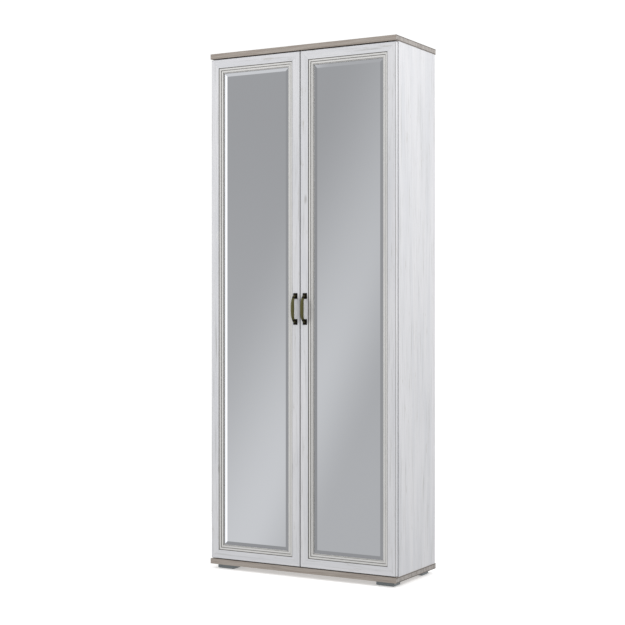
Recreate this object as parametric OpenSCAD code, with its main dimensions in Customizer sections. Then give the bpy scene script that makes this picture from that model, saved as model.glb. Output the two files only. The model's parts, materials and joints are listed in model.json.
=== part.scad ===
// Two-door mirrored armoire: a flat-pack carcass with shelves and a hanging space, and two
// mitred frame doors on concealed hinges. Millimetres, +Z up, the front looks along -Y.
// The origin is the middle of the outer box, on the floor.

/* [Carcass] */
// Width of the top and bottom boards
board_w = 900; // [760:1:1100]
// Depth of the top and bottom boards
board_d = 380; // [320:1:600]
// Height from under the bottom board to the top of the top board
carcass_h = 2216; // [1840:1:2700]
// Thickness of the top and bottom boards
board_t = 22; // [18:1:28]
// Thickness of the sides and the divider
side_t = 16; // [14:1:22]
// Thickness of the back panels
back_t = 3; // [2.5:0.5:5]
// How far the boards stand out past each side panel
side_over = 2; // [0:0.5:6]
// How far the boards stand out in front of the doors
front_over = 2.5; // [0:0.5:6]
// How far the back panels stand in from the boards' rear edges
back_inset = 1; // [0:0.5:4]
// Gap above the back panels, where the wall brackets reach the wall
back_gap = 26; // [26:1:60]

/* [Shelves] */
// Thickness of a shelf
shelf_t = 16; // [14:1:22]
// How far the shelves stand back from the carcass front
shelf_setback = 6; // [2:1:30]
// Side clearance of an adjustable shelf
shelf_play = 1; // [0.5:0.5:2]
// Height of the hat compartment above the hanging space
hat_h = 340; // [250:5:450]
// Diameter of the hanging rail
rail_dia = 22; // [18:1:30]
// Drop from the hat shelf to the middle of the rail
rail_drop = 42; // [30:1:60]

/* [Doors] */
// Thickness of the door frames
door_t = 22; // [20:1:28]
// Width of the stiles and rails
frame_w = 60; // [52:1:75]
// Width of the flat outer band of the frame
flat_w = 37; // [30:1:40]
// Depth of each step of the inner moulding
step_d = 2.5; // [1.5:0.25:3]
// Small chamfer on the frame's outer arris
arris = 1.2; // [0.5:0.1:2]
// How far a door's outer edge stands in from the side panel's face
door_inset = 2; // [0:0.5:6]
// Gap between the doors and the carcass front
door_gap = 2; // [2:0.5:4]
// Gap above the doors
gap_top = 5; // [3:0.5:8]
// Gap below the doors
gap_bottom = 4; // [3:0.5:8]
// Gap between the two doors
gap_mid = 3; // [2:0.5:5]
// Width of the narrow face between the last step and the mirror
lip_face = 3; // [2:0.5:5]
// Overlap of the frame's lip on the mirror
lip_w = 10; // [6:1:12]
// Thickness of the mirror glass
mirror_t = 4; // [3:0.5:5]
// Width of the mirror's bevel that shows inside the lip
bevel_w = 15; // [10:1:25]
// How much thinner the mirror is at its edge
bevel_drop = 1.6; // [1:0.1:2.4]
// Clearance of the mirror and its backing in the rebate
rebate_play = 1; // [0.5:0.5:2]
// Thickness of the backing board behind the mirror
backing_t = 3; // [2:0.5:4]

/* [Handles] */
// Height of the handles' middle above the floor
handle_z = 1128; // [900:1:1300]
// Distance between the middles of a handle's feet
handle_span = 109; // [90:1:160]
// Distance from the middle of a handle to the door's free edge
handle_edge = 21.5; // [18:0.5:30]
// How far a handle stands out from the door
handle_out = 26; // [22:1:35]
// Width of the strap in its middle
strap_w = 17; // [10:0.5:18]
// Width of the strap at its ends
strap_end_w = 10; // [6:0.5:12]
// Thickness of the strap
strap_t = 3.6; // [2.5:0.1:4.5]
// Width of a handle's foot
foot_plate_w = 20; // [18:0.5:26]
// Height of a handle's foot
foot_plate_h = 24; // [18:0.5:30]

/* [Hinges] */
// Distance from a door's end to its first hinge
hinge_end = 100; // [80:1:140]
// Distance from the door's edge to the middle of a cup
cup_edge = 22.5; // [20.5:0.5:24]
// Depth of a hinge cup
cup_d = 12; // [11.5:0.5:13]
// Diameter of the hinge pins
pin_dia = 3; // [2.5:0.5:4]
// Radial clearance of a pin in its link
pin_play = 0.05; // [0.02:0.01:0.1]

/* [Feet] */
// Height of the feet with their pads
feet_h = 20; // [14:1:60]
// Length of a foot along the front
foot_l = 83; // [60:1:110]
// Depth of a foot
foot_d = 60; // [40:1:80]
// How far the feet stand in from the boards' ends
foot_in_x = 22; // [10:1:60]
// How far the feet stand in from the boards' front and rear
foot_in_y = 25; // [10:1:60]
// Thickness of the felt pad under a foot
pad_t = 2; // [1:0.5:4]

/* [Hidden] */
$fn = 48;

SIDES = ["left", "right"];
ENDS = ["front_left", "front_right", "rear_left", "rear_right"];

// Depths: the handles stand out in front of the boards, so the boards lie behind the middle.
handle_over = max(handle_out - front_over, 0);
board_front = -board_d / 2 + handle_over / 2;
board_back = board_front + board_d;
door_front = board_front + front_over;
door_back = door_front + door_t;
carcass_front = door_back + door_gap;
carcass_back = board_back - back_inset - back_t;

// Heights.
board_low = feet_h;
inner_low = board_low + board_t;
board_high = board_low + carcass_h;
inner_high = board_high - board_t;
door_low = inner_low + gap_bottom;
door_high = inner_high - gap_top;
door_h = door_high - door_low;

// Widths, on the left half.
side_face = board_w / 2 - side_over;
side_inner = side_face - side_t;
door_edge = side_face - door_inset;
door_w = door_edge - gap_mid / 2;
bay_mid = (side_inner + side_t / 2) / 2;

// Shelves. The record lists four of them by name, so their number isn't a setting.
shelf_n = 4;
shelf_pitch = (inner_high - inner_low) / (shelf_n + 1);
hat_z = inner_high - hat_h - shelf_t;
shelf_front = carcass_front + shelf_setback;
shelf_pin_r = 2.5;
shelf_pin_in = 8;
shelf_pin_out = 8;
pin_row = 32;
pin_inset = 64;
shelf_pin_ys = [carcass_front + pin_inset, carcass_back - pin_inset];

// Cam fittings and dowels that join the boards and panels.
cam_r = 7.5;
cam_depth = 12.5;
cam_back = 24;
cam_slot_w = 1.6;
cam_slot_d = 3;
cam_rim = 2;
bolt_r = 3;
bolt_head_r = 3.5;
bolt_hole_r = 4;
bolt_in = 11;
bolt_head_l = 5;
dowel_r = 4;
dowel_in_board = 12;
dowel_in_panel = 18;
hat_dowel_in = 9;
cam_in_front = 84;
cam_in_rear = 37;
dowel_to_cam = 32;
cam_ys = [carcass_front + cam_in_front, carcass_back - cam_in_rear];
dowel_ys = [cam_ys[0] + dowel_to_cam, cam_ys[1] - dowel_to_cam];

// Screws, nails and pins.
nail_r = 0.8;
nail_l = 18;
nail_head_r = 2.2;
nail_head_t = 0.6;
nail_pitch = 220;
nail_end = 20;
back_edge = 1;
back_seam = 1;
back_high = inner_high - back_gap;
nail_run = back_high - inner_low - 2 * nail_end;
nail_rows = floor(nail_run / nail_pitch);
nail_xs = [-side_face + side_t / 2, -side_t / 4, side_t / 4, side_face - side_t / 2];
screw_r = 1.8;
screw_head_r = 3.8;
screw_head_t = 2;
screw_l = 12;

// Door frame: depths are measured back from the door's front.
step_n = 3;
step_w = (frame_w - lip_face - flat_w) / (step_n - 1);
lip_t = 3;
lip_back = step_n * step_d + lip_t;
glass_cut = 20;
rebate_w = frame_w - lip_w;
glass_w = door_w - 2 * rebate_w - 2 * rebate_play;
glass_h = door_h - 2 * rebate_w - 2 * rebate_play;
backing_pin_r = 0.8;
backing_pin_l = 14;
backing_pin_out = 6;
backing_pin_n = 7;

// Handles.
plate_base_t = 2.5;
plate_top_t = 3;
plate_top_in = 3;
post_r = 4.5;
handle_screw_r = 2;
handle_screw_clear = 0.5;
handle_screw_in = 9;
handle_head_r = 4;
handle_head_t = 1.6;
strap_steps = 16;
strap_over = 4;
strap_sink = 1.1;
strap_end_out = plate_base_t + plate_top_t + strap_t - strap_sink;
strap_drop = handle_out - strap_end_out;
strap_bow = 4;
strap_half = handle_span / 2 + strap_over;
strap_zs = [for (i = [-strap_steps:strap_steps]) strap_half * i / strap_steps];
strap_zs_back = [for (i = [len(strap_zs) - 1:-1:0]) strap_zs[i]];

// Hinges. Places are measured from the door's outer edge (u) and from its back face (v). The
// number of hinges and the 35 mm bore for a cup are fixed.
hinge_n = 4;
cup_dia = 35;
link_pin_u = 32;
link_pin_v = 4;
cup_pin_in = 11.5;
cup_pin_u = cup_edge - cup_pin_in;
cup_pin_v = -3;
link_bulge = 8;
link_half_t = 1.4;
link_half_w = 6;
link_eye_r = 2.9;
link_steps = 14;
cup_wall = 1;
cup_floor = 1.2;
flange_t = 1;
flange_w = 14;
flange_l = 60;
cup_screw_z = 24;
cup_screw_du = 6;
cup_screw_l = 10;
arm_wall = 1.5;
arm_play = 0.4;
arm_l = 58;
arm_nose_r = 4.2;
arm_web_v = 9;
arm_web_u = link_pin_u + 3;
saddle_v0 = 24;
saddle_v1 = 52;
saddle_mid = (saddle_v0 + saddle_v1) / 2;
plate_l = 52;
plate_w = 14;
plate_t = 2;
plate_screw_z = 19;
side_u = side_t - door_inset;
hinge_pitch = (door_h - 2 * hinge_end) / (hinge_n - 1);
hinge_zs = [for (i = [0:hinge_n - 1]) door_low + hinge_end + i * hinge_pitch];

// The link's middle line is an arc from the cup pin to the arm pin that bows away from the
// door's edge, so that the link clears the edge when the door stands open.
link_dx = link_pin_u - cup_pin_u;
link_dy = link_pin_v - cup_pin_v;
link_len = norm([link_dx, link_dy]);
link_arc_r = (pow(link_len, 2) / 4 + pow(link_bulge, 2)) / (2 * link_bulge);
link_half_deg = asin(link_len / 2 / link_arc_r);
link_turn = atan2(link_dy, link_dx);

// Wall brackets, bumpers, rail and feet.
bracket_w = 20;
bracket_leg = 34;
bracket_up = 24;
bracket_t = 2;
bracket_screw_in = 20;
bracket_hole_in = 13;
bracket_back = carcass_back + back_t;
wall_hole_r = 2.75;
bumper_r = 3;
bumper_t = 1.5;
bumper_x = side_t / 4 + gap_mid / 4;
bumper_end = 60;
rail_r = rail_dia / 2;
rail_wall = 1.2;
rail_play = 0.2;
socket_wall = 2;
socket_l = 14;
socket_plate_l = 40;
socket_plate_t = 2.5;
socket_screw_in = 6;
rail_from_front = 60;
rail_from_back = 12;
rail_front = carcass_front + rail_from_front;
rail_back = carcass_back - rail_from_back;
rail_z = hat_z - rail_drop;
foot_x = board_w / 2 - foot_in_x - foot_l / 2;
foot_y_front = board_front + foot_in_y + foot_d / 2;
foot_y_rear = board_back - foot_in_y - foot_d / 2;
foot_round = 4;
foot_screw_in = 14;
foot_screw_play = 0.3;
foot_recess_r = 5;
foot_recess_d = 8;
foot_wood_screw_l = feet_h - pad_t - foot_recess_d + screw_head_t + foot_screw_in;
pad_in = 4;

// Colours.
WHITE_PINE = "#d6d6d8";
GREY_OAK = "#a89f97";
SILVER_GLASS = "#aab0b8";
HARDBOARD = "#c9c3ba";
BRONZE = "#5f583c";
DARK_METAL = "#5d6163";
NICKEL = "#b9bbbd";
ZINC = "#a7a9ab";
BEECH = "#c8a878";
FELT = "#2b2a29";
RUBBER = "#d9dcdc";

DOOR_PIECES = [
    "outer_stile", "inner_stile", "top_rail", "bottom_rail", "mirror", "mirror_backing",
    "backing_pins", "handle", "handle_screws", "hinge_cups", "cup_screws"
];

// ---------------------------------------------------------------- helpers

module block(lo, hi) {
    translate(lo) cube(hi - lo);
}

module along_x(r, h) {
    rotate([0, 90, 0]) cylinder(r = r, h = h);
}

module along_y(r, h) {
    rotate([-90, 0, 0]) cylinder(r = r, h = h);
}

// Draws a left-hand shape, or its mirror image for the right-hand side.
module on_side(side) {
    mirror([side == "right" ? 1 : 0, 0, 0]) children();
}

module on_both_sides() {
    for (s = SIDES) on_side(s) children();
}

// A flat-bottomed countersunk screw with its head's top at the origin, pointing along +Z.
module screw(length) {
    cylinder(r1 = screw_head_r, r2 = screw_r, h = screw_head_t);
    cylinder(r = screw_r, h = length);
}

module screw_seat(depth) {
    cylinder(r1 = screw_head_r, r2 = screw_r, h = screw_head_t);
    cylinder(r = screw_r, h = depth);
}

// ---------------------------------------------------------------- panel joints

// Places a fitting at both ends of the three upright panels: +Z runs into the panel and +X
// looks out of its cam face.
module at_panel_ends(ys) {
    panel_x = side_inner + side_t / 2;
    for (z = [inner_low, inner_high], y = ys, x = [-panel_x, 0, panel_x])
        translate([x, y, z])
            mirror([x > 0 ? 1 : 0, 0, 0])
                mirror([0, 0, z == inner_high ? 1 : 0])
                    children();
}

// The same at both ends of the hat shelf, with the cam faces on its underside.
module at_hat_ends(ys) {
    for (x = [side_t / 2, side_inner], y = ys)
        translate([x, y, hat_z + shelf_t / 2])
            mirror([x == side_inner ? 1 : 0, 0, 0])
                rotate([0, 90, 0])
                    children();
}

module cam(face) {
    translate([face - cam_depth, 0, cam_back])
        difference() {
            along_x(cam_r, cam_depth);
            translate([cam_depth - face, 0, -cam_r - 1])
                cylinder(r = bolt_hole_r, h = cam_r + 1);
            translate([cam_depth - cam_slot_d, cam_rim - cam_r, -cam_slot_w / 2])
                cube([cam_slot_d + 1, 2 * (cam_r - cam_rim), cam_slot_w]);
        }
}

module cam_hole(face) {
    translate([face - cam_depth, 0, cam_back]) along_x(cam_r, cam_depth + 1);
    cylinder(r = bolt_hole_r, h = cam_back);
}

module bolt() {
    translate([0, 0, -bolt_in]) cylinder(r = bolt_r, h = bolt_in + cam_back - bolt_head_l);
    translate([0, 0, cam_back - bolt_head_l]) cylinder(r = bolt_head_r, h = bolt_head_l);
}

module bolt_hole() {
    translate([0, 0, -bolt_in]) cylinder(r = bolt_r, h = bolt_in + 1);
}

module dowel(in_board) {
    translate([0, 0, -in_board]) cylinder(r = dowel_r, h = in_board + dowel_in_panel);
}

module cams() {
    color(NICKEL) {
        at_panel_ends(cam_ys) cam(side_t / 2);
        at_hat_ends(cam_ys) cam(shelf_t / 2);
    }
}

module cam_bolts() {
    color(ZINC) {
        at_panel_ends(cam_ys) bolt();
        at_hat_ends(cam_ys) bolt();
    }
}

module dowels() {
    color(BEECH) {
        at_panel_ends(dowel_ys) dowel(dowel_in_board);
        at_hat_ends(dowel_ys) dowel(hat_dowel_in);
    }
}

module panel_end_holes() {
    at_panel_ends(cam_ys) cam_hole(side_t / 2);
    at_panel_ends(dowel_ys) dowel(dowel_in_board);
}

module hat_end_holes() {
    at_hat_ends(cam_ys) bolt_hole();
    at_hat_ends(dowel_ys) dowel(hat_dowel_in);
}

// ---------------------------------------------------------------- carcass

module main_board(low) {
    difference() {
        block([-board_w / 2, board_front, low], [board_w / 2, board_back, low + board_t]);
        at_panel_ends(cam_ys) bolt_hole();
        at_panel_ends(dowel_ys) dowel(dowel_in_board);
    }
}

module top_board() {
    color(GREY_OAK) main_board(inner_high);
}

module bottom_board() {
    color(GREY_OAK) main_board(board_low);
}

// Holes for the shelf pins: three at each shelf, so that it can be set up or down.
module shelf_pin_holes() {
    at_shelf_pins([-pin_row, 0, pin_row]) along_x(shelf_pin_r, shelf_pin_in + 1);
}

// Places the pins of the adjustable shelves: +X runs out of the wood into the compartment, and
// the origin is the bottom of the pin's hole.
module at_shelf_pins(rows) {
    for (i = [1:shelf_n], row = rows, y = shelf_pin_ys, s = [0, 1])
        translate([s == 0 ? -side_inner : -side_t / 2, y, shelf_low(i) - shelf_pin_r + row])
            mirror([s, 0, 0])
                translate([-shelf_pin_in, 0, 0])
                    children();
}

module upright(x_low) {
    block([x_low, carcass_front, inner_low], [x_low + side_t, carcass_back, inner_high]);
}

module side_panel(side) {
    color(WHITE_PINE)
        difference() {
            upright(side == "left" ? -side_face : side_inner);
            panel_end_holes();
            if (side == "left") shelf_pin_holes();
            if (side == "right") hat_end_holes();
        }
}

module divider() {
    color(WHITE_PINE)
        difference() {
            upright(-side_t / 2);
            panel_end_holes();
            shelf_pin_holes();
            hat_end_holes();
        }
}

module back_panel(side) {
    color(HARDBOARD)
        on_side(side)
            block(
                [back_edge - side_face, carcass_back, inner_low],
                [-back_seam / 2, carcass_back + back_t, back_high]
            );
}

// ---------------------------------------------------------------- shelves

function shelf_low(i) = inner_low + i * shelf_pitch - shelf_t / 2;

module shelf_left(i) {
    color(WHITE_PINE)
        block(
            [-side_inner + shelf_play, shelf_front, shelf_low(i)],
            [-side_t / 2 - shelf_play, carcass_back - shelf_play, shelf_low(i) + shelf_t]
        );
}

module shelf_pins() {
    color(ZINC) at_shelf_pins([0]) along_x(shelf_pin_r, shelf_pin_in + shelf_pin_out);
}

module hat_shelf() {
    color(WHITE_PINE)
        difference() {
            block(
                [side_t / 2, shelf_front, hat_z],
                [side_inner, carcass_back - shelf_play, hat_z + shelf_t]
            );
            at_hat_ends(cam_ys) cam_hole(shelf_t / 2);
            at_hat_ends(dowel_ys) dowel(hat_dowel_in);
        }
}

// ---------------------------------------------------------------- hanging rail

module hanging_rail() {
    color(NICKEL)
        translate([bay_mid, rail_front + socket_wall, rail_z])
            difference() {
                along_y(rail_r, rail_back - rail_front - 2 * socket_wall);
                translate([0, -1, 0]) along_y(rail_r - rail_wall, rail_back - rail_front);
            }
}

// A closed cup that holds the rail's end, hung from a plate under the hat shelf.
module rail_socket(place) {
    color(NICKEL)
        at_rail_end(place)
            difference() {
                union() {
                    along_y(rail_r + rail_play + socket_wall, socket_l);
                    translate([-rail_r / 2, 0, 0])
                        cube([rail_r, socket_l, rail_drop - socket_plate_t]);
                    translate([-socket_plate_l / 2, 0, rail_drop - socket_plate_t])
                        cube([socket_plate_l, socket_l, socket_plate_t]);
                }
                translate([0, socket_wall, 0]) along_y(rail_r + rail_play, socket_l);
                at_socket_screws() screw_seat(socket_plate_t + 1);
            }
}

module at_socket_screws() {
    for (x = [-1, 1])
        translate([
            x * (socket_plate_l / 2 - socket_screw_in),
            socket_l / 2,
            rail_drop - socket_plate_t
        ])
            children();
}

module at_rail_end(place) {
    translate([bay_mid, place == "front" ? rail_front : rail_back, rail_z])
        mirror([0, place == "front" ? 0 : 1, 0])
            children();
}

module rail_screws() {
    color(ZINC)
        for (p = ["front", "rear"])
            at_rail_end(p) at_socket_screws() screw(screw_l);
}

// ---------------------------------------------------------------- feet

module at_foot(place) {
    translate([
        (place == "front_left" || place == "rear_left" ? -1 : 1) * foot_x,
        place == "front_left" || place == "front_right" ? foot_y_front : foot_y_rear,
        0
    ])
        children();
}

module at_foot_screws() {
    for (x = [-1, 1]) translate([x * foot_l / 4, 0, pad_t]) children();
}

module rounded_plate(length, depth, round_r, height) {
    linear_extrude(height)
        union() {
            square([length - 2 * round_r, depth], center = true);
            square([length, depth - 2 * round_r], center = true);
            for (x = [-1, 1], y = [-1, 1])
                translate([x * (length / 2 - round_r), y * (depth / 2 - round_r)])
                    circle(r = round_r);
        }
}

module foot(place) {
    color(DARK_METAL)
        at_foot(place)
            difference() {
                translate([0, 0, pad_t]) rounded_plate(foot_l, foot_d, foot_round, feet_h - pad_t);
                at_foot_screws() {
                    translate([0, 0, -1]) cylinder(r = foot_recess_r, h = foot_recess_d + 1);
                    cylinder(r = screw_r + foot_screw_play, h = feet_h);
                }
            }
}

module foot_pads() {
    color(FELT)
        for (e = ENDS)
            at_foot(e) rounded_plate(foot_l - 2 * pad_in, foot_d - 2 * pad_in, foot_round, pad_t);
}

module foot_screws() {
    color(ZINC)
        for (e = ENDS)
            at_foot(e)
                at_foot_screws()
                    translate([0, 0, foot_recess_d - screw_head_t]) {
                        cylinder(r = screw_head_r, h = screw_head_t);
                        cylinder(r = screw_r, h = foot_wood_screw_l);
                    }
}

// ---------------------------------------------------------------- nails, brackets and bumpers

module back_nails() {
    color(ZINC)
        for (x = nail_xs, i = [0:nail_rows])
            translate([x, carcass_back + back_t, inner_low + nail_end + i * nail_run / nail_rows]) {
                along_y(nail_head_r, nail_head_t);
                translate([0, -nail_l, 0]) along_y(nail_r, nail_l);
            }
}

// An angle under the top board. Its upright leg reaches the wall above the back panel, and the
// wall screw goes in from inside.
module wall_bracket(side) {
    color(ZINC)
        on_side(side)
            translate([-bay_mid, bracket_back, inner_high])
                difference() {
                    union() {
                        block([-bracket_w / 2, -bracket_leg, -bracket_t], [bracket_w / 2, 0, 0]);
                        block([-bracket_w / 2, -bracket_t, -bracket_up], [bracket_w / 2, 0, 0]);
                    }
                    translate([0, -bracket_t - 1, -bracket_hole_in])
                        along_y(wall_hole_r, bracket_t + 2);
                    translate([0, -bracket_screw_in, -bracket_t]) screw_seat(bracket_t + 1);
                }
}

module wall_bracket_screws() {
    color(ZINC)
        on_both_sides()
            translate([-bay_mid, bracket_back - bracket_screw_in, inner_high - bracket_t])
                screw(screw_l);
}

module door_bumpers() {
    color(RUBBER)
        on_both_sides()
            for (z = [door_low + bumper_end, door_high - bumper_end])
                translate([-bumper_x, carcass_front - bumper_t, z]) along_y(bumper_r, bumper_t);
}

// ---------------------------------------------------------------- doors

// The frame's cross-section: x runs from the outer edge inwards, y runs back from the front.
module frame_section() {
    polygon([
        [arris, 0],
        for (i = [0:step_n - 1])
            for (d = [i, i + 1])
                [flat_w + i * step_w, d * step_d],
        [frame_w, step_n * step_d],
        [frame_w, lip_back],
        [rebate_w, lip_back],
        [rebate_w, door_t],
        [arris, door_t],
        [0, door_t - arris],
        [0, arris]
    ]);
}

// The left door lies in its own plane: x from its outer edge, y up from its foot, and z back
// from its front. This places it on the left half of the carcass.
module hang_left() {
    translate([-door_edge, door_front, door_low]) children();
}

// A mitred length of the frame that stands upright, with its outer edge at x = 0.
module mitred(length) {
    difference() {
        linear_extrude(length) frame_section();
        rotate([0, -45, 0]) block([-2 * frame_w, -1, -2 * frame_w], [2 * frame_w, door_t + 1, 0]);
        translate([0, 0, length])
            rotate([0, 45, 0])
                block([-2 * frame_w, -1, 0], [2 * frame_w, door_t + 1, 2 * frame_w]);
    }
}

module cup_holes() {
    for (z = hinge_zs)
        translate([cup_edge, door_t - cup_d, z - door_low]) along_y(cup_dia / 2, cup_d + 1);
}

module outer_stile(side) {
    color(WHITE_PINE)
        on_side(side)
            hang_left()
                difference() {
                    mitred(door_h);
                    cup_holes();
                }
}

module inner_stile(side) {
    color(WHITE_PINE)
        on_side(side)
            hang_left()
                difference() {
                    translate([door_w, 0, 0]) mirror([1, 0, 0]) mitred(door_h);
                    at_handle_feet()
                        translate([0, -1, 0])
                            along_y(handle_screw_r + handle_screw_clear, door_t + 2);
                }
}

module bottom_rail(side) {
    color(WHITE_PINE)
        on_side(side)
            hang_left()
                mirror([1, 0, 0]) rotate([0, -90, 0]) mitred(door_w);
}

module top_rail(side) {
    color(WHITE_PINE)
        on_side(side)
            hang_left()
                translate([0, 0, door_h])
                    rotate([0, 90, 0]) mitred(door_w);
}

// Bevelled mirror: a flat back plate and a front that falls away to a thinner edge. The bevel is
// cut with four sloping planes.
module mirror_glass(side) {
    edge = rebate_w + rebate_play;
    slope_w = lip_w - rebate_play + bevel_w;
    tilt = atan(bevel_drop / slope_w);
    cut_l = 2 * slope_w;
    color(SILVER_GLASS)
        on_side(side)
            hang_left()
                translate([edge, lip_back, edge])
                    difference() {
                        cube([glass_w, mirror_t, glass_h]);
                        translate([0, bevel_drop, -1])
                            rotate([0, 0, -tilt])
                                translate([-glass_cut, -glass_cut, 0])
                                    cube([cut_l, glass_cut, glass_h + 2]);
                        translate([glass_w, bevel_drop, -1])
                            rotate([0, 0, tilt])
                                translate([glass_cut - cut_l, -glass_cut, 0])
                                    cube([cut_l, glass_cut, glass_h + 2]);
                        translate([-1, bevel_drop, 0])
                            rotate([tilt, 0, 0])
                                translate([0, -glass_cut, -glass_cut])
                                    cube([glass_w + 2, glass_cut, cut_l]);
                        translate([-1, bevel_drop, glass_h])
                            rotate([-tilt, 0, 0])
                                translate([0, -glass_cut, glass_cut - cut_l])
                                    cube([glass_w + 2, glass_cut, cut_l]);
                    }
}

module mirror_backing(side) {
    edge = rebate_w + rebate_play;
    color(HARDBOARD)
        on_side(side)
            hang_left()
                translate([edge, lip_back + mirror_t, edge])
                    cube([glass_w, backing_t, glass_h]);
}

// Glazing pins, driven into the rebate behind the backing board.
module backing_pins(side) {
    depth = lip_back + mirror_t + backing_t + backing_pin_r;
    reach = backing_pin_l - backing_pin_out;
    color(ZINC)
        on_side(side)
            hang_left() {
                for (i = [1:backing_pin_n]) {
                    z = rebate_w + i * (door_h - 2 * rebate_w) / (backing_pin_n + 1);
                    translate([rebate_w - reach, depth, z]) along_x(backing_pin_r, backing_pin_l);
                    translate([door_w - rebate_w + reach - backing_pin_l, depth, z])
                        along_x(backing_pin_r, backing_pin_l);
                }
                for (i = [-1, 1]) {
                    x = door_w / 2 + i * (door_w / 2 - rebate_w) / 2;
                    translate([x, depth, rebate_w - reach])
                        cylinder(r = backing_pin_r, h = backing_pin_l);
                    translate([x, depth, door_h - rebate_w + reach - backing_pin_l])
                        cylinder(r = backing_pin_r, h = backing_pin_l);
                }
            }
}

// ---------------------------------------------------------------- handles

module at_handle_feet() {
    for (z = [-1, 1])
        translate([door_w - handle_edge, 0, handle_z - door_low + z * handle_span / 2])
            children();
}

// Half-width and outer reach of the strap at height z from its middle. The strap is flat in its
// middle and bends back to the feet near its ends.
function strap_half_w(z) =
    strap_end_w / 2 + (strap_w - strap_end_w) / 2 * (1 - pow(z / strap_half, 2));
function strap_reach(z) = handle_out - strap_drop * pow(abs(z) / strap_half, strap_bow);

// Thickness of the strap measured straight back from its front.
function strap_depth(z) =
    let (slope = strap_drop * strap_bow / strap_half * pow(abs(z) / strap_half, strap_bow - 1))
    strap_t * norm([1, slope]);

// The bow strap: its side outline crossed with its front outline.
module strap() {
    intersection() {
        rotate([90, 0, 90])
            translate([0, 0, -foot_plate_w / 2])
                linear_extrude(foot_plate_w)
                    polygon(concat(
                        [for (z = strap_zs) [-strap_reach(z), z]],
                        [for (z = strap_zs_back) [strap_depth(z) - strap_reach(z), z]]
                    ));
        rotate([90, 0, 0])
            linear_extrude(handle_out + 1)
                polygon(concat(
                    [for (z = strap_zs) [strap_half_w(z), z]],
                    [for (z = strap_zs_back) [-strap_half_w(z), z]]
                ));
    }
}

// One cast piece: two square stepped feet, their posts and the strap across them.
module handle(side) {
    top_w = foot_plate_w - 2 * plate_top_in;
    top_h = foot_plate_h - 2 * plate_top_in;
    post_top = strap_reach(handle_span / 2) - strap_t / 2;
    color(BRONZE)
        on_side(side)
            hang_left()
                difference() {
                    union() {
                        at_handle_feet() {
                            block(
                                [-foot_plate_w / 2, -plate_base_t, -foot_plate_h / 2],
                                [foot_plate_w / 2, 0, foot_plate_h / 2]
                            );
                            block(
                                [-top_w / 2, -plate_base_t - plate_top_t, -top_h / 2],
                                [top_w / 2, -plate_base_t, top_h / 2]
                            );
                            translate([0, -post_top, 0]) along_y(post_r, post_top - plate_base_t);
                        }
                        translate([door_w - handle_edge, 0, handle_z - door_low]) strap();
                    }
                    at_handle_feet()
                        translate([0, -handle_screw_in, 0])
                            along_y(handle_screw_r, handle_screw_in + 1);
                }
}

module handle_screws(side) {
    color(ZINC)
        on_side(side)
            hang_left()
                at_handle_feet() {
                    translate([0, 1 - handle_screw_in, 0])
                        along_y(handle_screw_r, door_t + handle_screw_in - 1);
                    translate([0, door_t, 0]) along_y(handle_head_r, handle_head_t);
                }
}

// ---------------------------------------------------------------- hinges

// Hinge frame: x from the door's outer edge, y back from the door's back face.
module at_hinges() {
    for (z = hinge_zs) translate([-door_edge, door_back, z]) children();
}

module at_cup_screws() {
    for (z = [-1, 1]) translate([cup_edge + cup_screw_du, flange_t, z * cup_screw_z]) children();
}

module hinge_cup() {
    inner_r = cup_dia / 2 - cup_wall;
    difference() {
        union() {
            translate([cup_edge, -cup_d, 0]) along_y(cup_dia / 2, cup_d);
            block([cup_edge + cup_screw_du - flange_w / 2, 0, -flange_l / 2],
                [cup_edge + cup_screw_du + flange_w / 2, flange_t, flange_l / 2]);
        }
        translate([cup_edge, -cup_d + cup_floor, 0]) along_y(inner_r, cup_d + flange_t);
        at_cup_screws() rotate([90, 0, 0]) screw_seat(flange_t + 1);
    }
    chord = sqrt(pow(inner_r, 2) - pow(cup_edge - cup_pin_u, 2)) + cup_wall / 2;
    translate([cup_pin_u, cup_pin_v, -chord]) cylinder(r = pin_dia / 2, h = 2 * chord);
}

module hinge_cups(side) {
    color(NICKEL) on_side(side) at_hinges() hinge_cup();
}

module cup_screws(side) {
    color(ZINC) on_side(side) at_hinges() at_cup_screws() rotate([90, 0, 0]) screw(cup_screw_l);
}

module link_outline() {
    centre_y = link_arc_r - link_bulge;
    translate([cup_pin_u, cup_pin_v])
        rotate(link_turn)
            translate([link_len / 2, centre_y])
                polygon(concat(
                    [for (i = [0:link_steps]) arc_point(link_arc_r + link_half_t, i / link_steps)],
                    [for (i = [link_steps:-1:0]) arc_point(link_arc_r - link_half_t, i / link_steps)]
                ));
    translate([cup_pin_u, cup_pin_v]) circle(r = link_eye_r);
    translate([link_pin_u, link_pin_v]) circle(r = link_eye_r);
}

function arc_point(r, t) =
    let (a = -90 - link_half_deg + 2 * link_half_deg * t)
    [r * cos(a), r * sin(a)];

module hinge_link() {
    translate([0, 0, -link_half_w])
        difference() {
            linear_extrude(2 * link_half_w) link_outline();
            for (p = [[cup_pin_u, cup_pin_v], [link_pin_u, link_pin_v]])
                translate([p[0], p[1], -1])
                    cylinder(r = pin_dia / 2 + pin_play, h = 2 * link_half_w + 2);
        }
}

module hinge_links(side) {
    color(NICKEL) on_side(side) at_hinges() hinge_link();
}

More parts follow.
